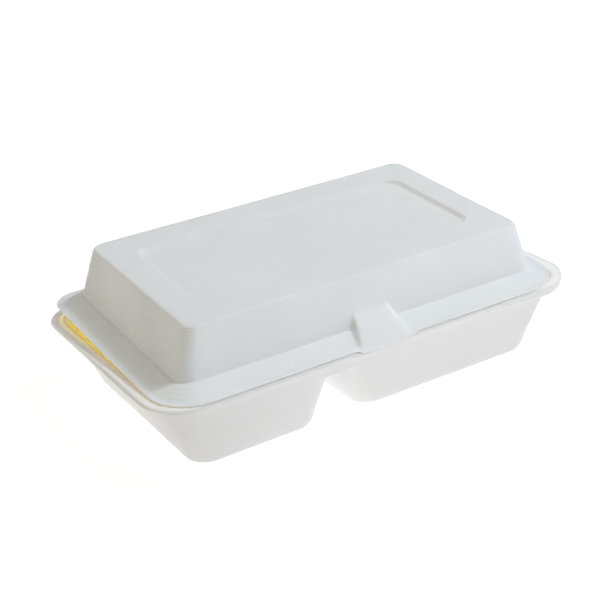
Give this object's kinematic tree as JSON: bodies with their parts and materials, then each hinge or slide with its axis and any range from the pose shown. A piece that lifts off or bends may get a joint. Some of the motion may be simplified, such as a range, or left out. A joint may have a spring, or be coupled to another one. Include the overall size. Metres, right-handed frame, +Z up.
{
  "type": "compartment meal box",
  "caption": "Hinged moulded-pulp meal box, closed: a tray with a small and a large well, a domed lid with a sunken top panel, a back fold hinge and a front catch.",
  "frame": {"origin": "middle of the box's footprint, on the surface it stands on", "axes": "+X along the length towards the large well, +Y to the hinge at the back, +Z up"},
  "size_m": [0.2526, 0.151, 0.0802],
  "materials": {
    "tray_pulp": "matt pressed plant-fibre pulp with fine forming-screen marks",
    "lid_pulp": "matt pressed plant-fibre pulp with fine forming-screen marks",
    "hinge_pulp": "matt pressed plant-fibre pulp, creased at both fold lines"
  },
  "bodies": {
    "tray": {"tray": "tray_pulp"},
    "hinge_strip": {"hinge_strip": "hinge_pulp"},
    "lid": {"lid": "lid_pulp"}
  },
  "joints": [
    {"name": "tray_fold", "type": "hinge", "parent": "tray", "child": "hinge_strip", "pos_m": [0, 0.0751, 0.0406], "axis": [-1, 0, 0], "range_deg": [0, 112.8]},
    {"name": "lid_fold", "type": "hinge", "parent": "hinge_strip", "child": "lid", "pos_m": [0, 0.07112, 0.05007], "axis": [-1, 0, 0], "range_deg": [0, 70.6]}
  ],
  "couplings": [
    {"joint": "tray_fold", "follows": "lid_fold", "ratio": 1.5977}
  ]
}
